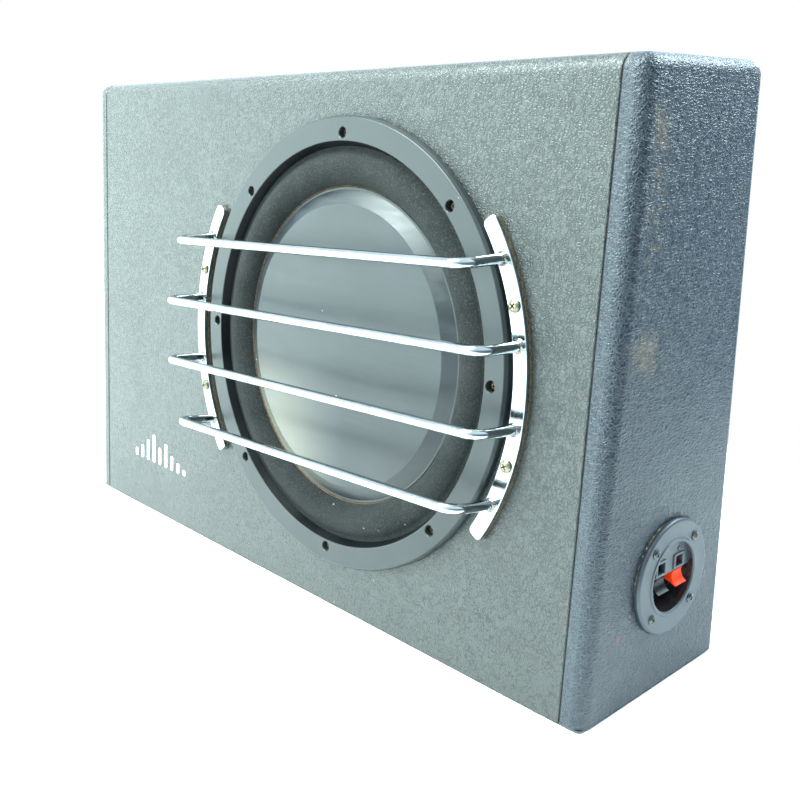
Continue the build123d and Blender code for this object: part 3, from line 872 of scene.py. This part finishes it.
# -------- driver
screw_circle = 148.4
places = around(screw_circle, *[90 + 45 * n for n in range(8)])
ring_profile = rounded(
    [
        (139.9, 0), (143.2, 6.7), (158.6, 6.7), (160, 4.2), (160, 0.3), (158.7, 0.3),
        (158.7, 2), (141.3, 2), (141.3, 0),
    ],
    [0.2, 0.7, 1.0, 1.2, 0.2, 0, 0, 0, 0],
    closed=True,
)
screw_well = [(0, 1), (3.7, 1), (3.7, 6.3), (4.3, 6.9), (4.3, 8), (0, 8)]
wells = [shifted(lathe(screw_well, 32, closed=False), x, y, 0) for x, y in places]
trim = carved(lathe(ring_profile, 256), *wells)
# The inner wall's faces take the painted-shade copy of the ring plastic.
second_look(trim, lambda way, level: way < 142.9 and 0.3 < level < 6.4)
piece(
    "trim_moulding", trim, driver, "ring_plastic", ["trim_ring"],
    sharp=40, looks=["ring_plastic", "ring_wall"],
)
screws("driver_screw", driver, places, 2.0, (3.4, 1.7, 1.7), "dark_screw", "driver_screws")

cap_radius = 101
cap_edge = 0.9
cap_bulge = 2.0
cap_profile = [
    Vector((radius, cap_edge + cap_bulge * (1 - (radius / cap_radius) ** 2), 0))
    for radius in range(0, 100, 11)
]
cap_profile += rounded(
    [
        (100.5, cap_edge), (cap_radius, cap_edge), (111.0, -4.2), (112.5, -4.3),
        (112.4, -5.2), (107.4, -5.2), (98.6, -0.8), (0, -0.8),
    ],
    [0, 1.6, 1.5, 0.2, 0.2, 0, 0, 0],
)
cap = lathe(cap_profile, 256, closed=False)
piece("cap_disc", cap, driver, "cone_plastic", ["cone_cap"], body="cone_assembly", sharp=40)


def arc_through(first, crest, last, steps):
    """Points of an arc over a crest, as (radius, height)."""
    (x1, y1), (x2, y2), (x3, y3) = first, crest, last
    d = 2 * (x1 * (y2 - y3) + x2 * (y3 - y1) + x3 * (y1 - y2))
    s1, s2, s3 = x1**2 + y1**2, x2**2 + y2**2, x3**2 + y3**2
    cx = (s1 * (y2 - y3) + s2 * (y3 - y1) + s3 * (y1 - y2)) / d
    cy = (s1 * (x3 - x2) + s2 * (x1 - x3) + s3 * (x2 - x1)) / d
    radius = sqrt((x1 - cx) ** 2 + (y1 - cy) ** 2)
    start, end = atan2(y1 - cy, x1 - cx), atan2(y3 - cy, x3 - cx)
    angles = [start + (end - start) * k / steps for k in range(steps + 1)]
    return [(cx + radius * cos(angle), cy + radius * sin(angle)) for angle in angles]


def radial_blend(thing):
    """Bakes the piece's placing into its mesh."""
    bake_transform(thing)


roll_profile = (
    [(107.4, -6.6), (107.4, -5.3), (111.2, -5.3)]
    + arc_through((112.9, -5.1), (125.2, 4.8), (137.2, 0), 20)
    + [(141.0, 0), (141.0, -1.3)]
    + arc_through((135.6, -1.3), (125.2, 3.2), (114.2, -6.6), 20)
)
roll_shape = lathe(roll_profile, 256)
second_look(roll_shape, lambda way, level: 111.3 < way < 113.7)
roll = piece(
    "foam_roll", roll_shape, driver, "roll_foam", ["surround"],
    body=None, sharp=50, looks=["roll_foam", "brown_glue"],
)
radial_blend(roll)

wave_start, wave_width, wave_height = 36, 33, 0.9  # the spider's corrugations
waves = 3.5
wave_steps = 48
spider_bore = 31.95
spider_top = [(spider_bore, -43.4), (33.4, -43.4)]
for k in range(wave_steps + 1):
    ripple = wave_height * cos(2 * pi * waves * k / wave_steps)
    spider_top.append((wave_start + wave_width * k / wave_steps, -44.0 - ripple))
spider_top.append((76.0, -44.6))
spider_underside = [(r, h - 0.8) for r, h in reversed(spider_top[1:])] + [(spider_bore, -46.4)]
spider_shape = lathe(spider_top + spider_underside, 128)
spider = piece(
    "spider_disc", spider_shape, driver, "spider_cloth", ["spider"], body=None, sharp=50,
)
radial_blend(spider)

# -------- guard
strip_middle = 172.6  # radius of the strips' middle line
strip_half = 5.4  # half their width
strip_corner = 3.6
strip_sweep = 35  # degrees each side of the middle
strip_low, strip_high = 2.2, 5.0
leg_circle = 171.6
leg_rows = (75.4, 25.1, -25.1, -75.4)  # how high on the guard each bar's legs stand
bar_rows = (72.6, 24.2, -24.2, -72.6)  # and how high the bar itself lies
bar_foot = 4.6  # the legs start inside the strips
bar_height = 38.6
bar_radius = 3.25
bar_bend = 10.0


def strip_outline(side, grow):
    """A curved strip seen from the front, anticlockwise, with round corners."""
    half = strip_half + grow
    outer, inner = strip_middle + half, strip_middle - half
    steps = 40
    angles = [radians(side - strip_sweep + 2 * strip_sweep * k / steps) for k in range(steps + 1)]
    points = [polar(outer, angle) for angle in angles]
    points += [polar(inner, angle) for angle in reversed(angles)]
    radii = [0] * len(points)
    for end in (0, steps, steps + 1, 2 * steps + 1):
        radii[end] = strip_corner
    beside_ends = (1, steps - 1, steps + 2, 2 * steps)  # left out to make room for the corners
    kept = [k for k in range(len(points)) if k not in beside_ends]
    points = [points[k] for k in kept]
    radii = [radii[k] for k in kept]
    return rounded(points, radii, closed=True, step=radians(12))


for name, side in (("right", 0), ("left", 180)):
    strip = plate(strip_outline(side, 0), strip_low, strip_high, 0.7)
    piece(f"chrome_strip_{name}", strip, guard, "plated_steel", [f"guard_strip_{name}"])
    pad = plate(strip_outline(side, 0.1), 0, strip_low, 0.3, 2)
    pad = roughened(pad, 0.4, 2.3)
    piece(f"foam_pad_{name}", pad, guard, "pad_foam", [f"guard_pad_{name}"])

bead_profile = [(2.9, 0), (4.9, 0), (4.4, 0.35), (3.7, 0.8), (3.25, 1.5), (2.9, 1.5)]
for n, (leg, row) in enumerate(zip(leg_rows, bar_rows), start=1):
    reach = sqrt(leg_circle**2 - leg**2)
    corners = [
        (-reach, leg, bar_foot), (-reach, row, bar_height),
        (reach, row, bar_height), (reach, leg, bar_foot),
    ]
    bar = tube(rounded(corners, bar_bend, step=radians(6)), bar_radius, 32)
    piece(f"chrome_bar_{n}", bar, guard, "plated_steel", [f"guard_bar_{n}"], sharp=50)
    for name, side in (("left", -1), ("right", 1)):
        bead = roughened(lathe(bead_profile, 36), 0.9, 1.7)
        bead = shifted(bead, side * reach, leg, strip_high - 0.1)
        piece(f"weld_{n}_{name}", bead, guard, "plated_steel", sharp=60, looks=["weld_steel"])

places = around(strip_middle, 16.3, -16.3, 196.3, 163.7)
screws("guard_screw", guard, places, strip_high, (4.2, 2.3, 2.1), "zinc_screw", "guard_screws")

# -------- terminal
bowl_radius = 23.0
cup_profile = rounded(
    [
        (37.4, 0.6), (38, 0.8), (38, 3.8), (25.6, 3.8), (25.1, 4.4), (22.8, 4.4),
        (22.8, -14.5), (0, -14.5),
    ],
    [0, 0.2, 2.0, 0.5, 0.4, 1.2, 5.0, 0],
) + rounded([(0, -16.8), (25.5, -16.8), (25.5, 0.6), (37.4, 0.6)], [0, 0.8, 0.4, 0])
shell = lathe(cup_profile, 160, closed=False)
second_look(shell, lambda way, level: way < bowl_radius + 0.4 and level < 3.0)
piece(
    "cup_shell", shell, cup, "cup_plastic", ["terminal_cup"],
    looks=["cup_plastic", "bowl_plastic"],
)

ports = ((-10.0, 7.4), (10.0, 7.4))
port_cutters = [box((x - 3.9, y - 3.5, -6), (x + 3.9, y + 3.5, 3)) for x, y in ports]
well_cutters = [box((x - 6.2, -0.4, -14.4), (x + 6.2, 13.6, -1.2)) for x, _ in ports]
shelf_edge = 1.5  # the shelf with the ports fills the bowl above this line
shelf_face = 0.4
chord_angle = atan2(shelf_edge, bowl_radius)
shelf_radius = bowl_radius + 0.3
shelf_steps = 40
shelf = [
    polar(shelf_radius, chord_angle + (pi - 2 * chord_angle) * k / shelf_steps)
    for k in range(shelf_steps + 1)
]
shelf_block = carved(plate(shelf, -14.4, shelf_face, 0.5), *port_cutters, *well_cutters)
piece("port_plate", shelf_block, cup, "cup_plastic", sharp=40)


def rectangle(width, height, radius, centre):
    """A rectangle with round corners, anticlockwise."""
    x, y = width / 2, height / 2
    signs = ((-1, -1), (1, -1), (1, 1), (-1, 1))
    corners = [(centre[0] + a * x, centre[1] + b * y) for a, b in signs]
    return rounded(corners, radius, closed=True, step=radians(20))


sign_length, sign_width, sign_up = 4.2, 1.0, 15.6
for name, place in zip(("black", "red"), ports):
    outer = rectangle(11.4, 10.4, 1.0, place)
    hole = rectangle(8.4, 7.6, 0.5, place)
    lip = inset(hole, 0.35)
    section = (
        (outer, -0.3), (outer, 0.6), (inset(outer, 0.3), 0.9),
        (hole, 0.9), (lip, 0.55), (lip, -2.5),
    )
    rings = [at_height(outline, shelf_face + lift) for outline, lift in section]
    port_frame = loft(rings, first_cap=False, last_cap=False)
    piece(f"port_frame_{name}", port_frame, cup, "cup_plastic", sharp=40)
    sign_place = (place[0], sign_up)
    across = rectangle(sign_length, sign_width, 0.4, sign_place)
    sign = [plate(across, shelf_face - 0.2, shelf_face + 0.45, 0.25, 2)]
    if name == "red":
        upright = rectangle(sign_width, sign_length, 0.4, sign_place)
        sign.append(plate(upright, shelf_face - 0.2, shelf_face + 0.44, 0.25, 2))
    piece(f"port_sign_{name}", joined(*sign), cup, "cup_plastic", sharp=40)

pad_ring = lathe([(26.4, 0.02), (37.9, 0.02), (38.3, 0.3), (37.9, 0.58), (26.4, 0.58)], 160)
pad_ring = roughened(pad_ring, 0.9, 2.4, lambda point: point.xy.length > 37)
piece("cup_gasket", pad_ring, cup, "sealing_foam", ["cup_pad"], sharp=50, looks=["cup_pad_foam"])
half_pitch = 43.5 / 2
places = [(a * half_pitch, b * half_pitch) for a in (-1, 1) for b in (-1, 1)]
screws("cup_screw", cup, places, 3.8, (3.3, 1.4, 2.1), "grey_screw", "cup_screws")


def lever(x):
    """A push lever: a heel on the pin, a hollow for the finger and a lip."""
    finger_hollow = arc_through((1.1, 0.5), (-3.6, 0.1), (-7.7, 3.8), 10)
    profile = finger_hollow + [  # as (up, out)
        (-8.5, 3.0), (-6.4, -1.2), (-5.0, -6.5), (0.5, -9.2), (7.4, -9.2), (7.4, -3.2), (1.1, -2.6),
    ]
    half_width = 5.8
    sides = []
    for side in (-1, 1):
        ring = []
        for up, out in profile:
            in_front = out > -2.7 and up < 1.2
            narrowing = 0.9 * min(1, max(0, (up + 4.5) / 5.6)) if in_front else 0
            ring.append(Vector((x + side * (half_width - narrowing), up, out)))
        sides.append(ring)
    shape = loft(sides)
    sharp_edges = [edge for edge in shape.edges if edge.calc_face_angle(0) > radians(35)]
    bmesh.ops.bevel(shape, geom=sharp_edges, offset=0.35, segments=3, profile=0.5, affect="EDGES")
    return shape


for name, (x, _) in zip(("black", "red"), ports):
    slot = f"lever_{name}_plastic"
    body = f"lever_{name}"
    piece(f"push_lever_{name}", lever(x), cup, slot, [body], body=body, sharp=50)

# -------- CAD nodes that stay
kept_nodes = {
    "fibreboard": ["front_baffle", "back_board", "top_board", "bottom_board", "left_end_board",
                   "right_end_board"],
    "batten_pine": ["corner_battens"],
    "floor_plastic": ["bottom_sheet"],
    "mark_print": ["front_mark"],
    "basket_paint": ["driver_basket"],
    "sealing_foam": ["driver_gasket"],
    "motor_steel": ["top_plate", "pole_yoke"],
    "ferrite": ["magnet"],
    "tag_board": ["driver_tag_board"],
    "tag_brass": ["driver_tags", "contact_tag_black", "contact_tag_red"],
    "paper_cone": ["cone"],
    "former_foil": ["coil_former"],
    "copper_winding": ["voice_coil"],
    "spring_steel": ["lever_pin"],
    "wire_red": ["hookup_wire_red"],
    "wire_black": ["hookup_wire_black"],
}
for finish, nodes in kept_nodes.items():
    for node in nodes:
        mesh = frame["nodes"][node].data
        mesh.materials.clear()
        mesh.materials.append(finishes[finish])


def copy_of(node, name, finish):
    """A copy of a CAD node as a piece of its own, with a finish; the node is hidden."""
    thing = frame["nodes"][node].copy()
    thing.data = thing.data.copy()
    thing.name = name
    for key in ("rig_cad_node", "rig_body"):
        if key in thing:
            del thing[key]
    thing.parent = None
    bpy.context.scene.collection.objects.link(thing)
    thing.data.materials.clear()
    thing.data.materials.append(finishes[finish])
    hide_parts(node)
    return thing


leads = copy_of("tinsel_leads", "cone_leads", "lead_braid")
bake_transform(leads)
for name in ("black", "red"):
    spring = copy_of(f"lever_spring_{name}", f"heel_spring_{name}", "spring_steel")
    low_corner, high_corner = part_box(f"lever_spring_{name}")
    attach(spring, "cabinet")
    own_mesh(spring)


# -------- camera, floor and light
def camera():
    """The camera, to the right of the front and nearly as high as the cabinet."""
    data = bpy.data.cameras.new("camera")
    data.sensor_width = 36
    data.lens = 44.415
    thing = placed("camera", data)
    thing.location = (0.5974, -0.5010, 0.3475)
    thing.rotation_euler = [radians(angle) for angle in (74.596, 0.112, 46.791)]
    bpy.context.scene.camera = thing


def floor():
    """A white table top that ends soon after the object on the right and behind."""
    finish = Finish("pale_floor", Roughness=0.7)
    cloudy = finish.noise(0.5, 3)
    finish.feed("Base Color", finish.mix(cloudy, (0.86, 0.87, 0.87), (0.89, 0.90, 0.90)))
    left, right, near, far = -1.5, 0.62, -1.3, 0.50
    mesh = bpy.data.meshes.new("floor")
    corners = [(left, near, 0), (right, near, 0), (right, far, 0), (left, far, 0)]
    mesh.from_pydata(corners, [], [(0, 1, 2, 3)])
    mesh.materials.append(finish.material)
    placed("floor", mesh)


def softbox(name, place, aim, size, power, colour):
    """A rectangular light, turned to what it aims at."""
    data = bpy.data.lights.new(name, "AREA")
    data.shape = "RECTANGLE"
    data.size, data.size_y = size
    data.energy = power
    data.color = colour
    thing = placed(name, data)
    thing.location = place
    thing.rotation_euler = (Vector(aim) - Vector(place)).to_track_quat("-Z", "Y").to_euler()


def surroundings():
    """A white tent, bright on the left, dim and bluish on the right. The camera sees white."""
    world = bpy.data.worlds.new("tent")
    bpy.context.scene.world = world
    world.use_nodes = True
    world.node_tree.nodes.clear()
    sky = Nodes(world.node_tree, "Generated")

    # round the horizon, from the left through the front, the right and the back
    azimuth = sky.math("ARCTAN2", sky.axis("Y"), sky.axis("X"))
    round_about = sky.node("ShaderNodeMapRange", ((0, azimuth), (1, -pi), (2, pi))).outputs[0]
    left, right = (0.80, 1.0, 0.97), (0.58, 0.82, 1.0)
    stops = (  # position, level, tint
        (0.0, 0.95, left), (0.07, 0.95, left), (0.15, 1.45, left), (0.20, 0.95, left),
        (0.26, 0.38, left), (0.36, 0.12, right), (0.50, 0.08, right), (0.62, 0.09, right),
        (0.78, 0.45, right), (1.0, 0.95, left),
    )
    ramp = sky.node("ShaderNodeValToRGB", ((0, round_about),))
    elements = ramp.color_ramp.elements
    while len(elements) < len(stops):
        elements.new(0.5)
    for element, (position, level, tint) in zip(elements, stops):
        element.position = position
        element.color = (*[level * channel for channel in tint], 1)

    def glow(colour, strength):
        inputs = (("Color", colour), ("Strength", strength))
        return sky.node("ShaderNodeBackground", inputs).outputs[0]

    def blended(factor, first, second):
        inputs = ((0, factor), (1, first), (2, second))
        return sky.node("ShaderNodeMixShader", inputs).outputs[0]

    overhead = sky.between(sky.axis("Z"), 0.16, 0.60)
    tent = blended(overhead, glow(ramp.outputs[0], 6.5), glow((0.80, 0.95, 1.0, 1), 2.2))
    camera_ray = sky.node("ShaderNodeLightPath").outputs["Is Camera Ray"]
    seen = blended(camera_ray, tent, glow((1, 1, 1, 1), 1))
    sky.node("ShaderNodeOutputWorld", ((0, seen),))


camera()
floor()
surroundings()
softbox("key", (-0.45, -1.0, 1.7), (-0.6, -0.55, 0), (1.5, 1.2), 205, (0.86, 1.0, 0.97))
softbox("back", (0.8, 1.2, 1.25), (0.4, 0.1, 0.2), (1.3, 0.4), 46, (0.74, 0.93, 1.0))
bpy.context.scene.view_settings.view_transform = "Standard"
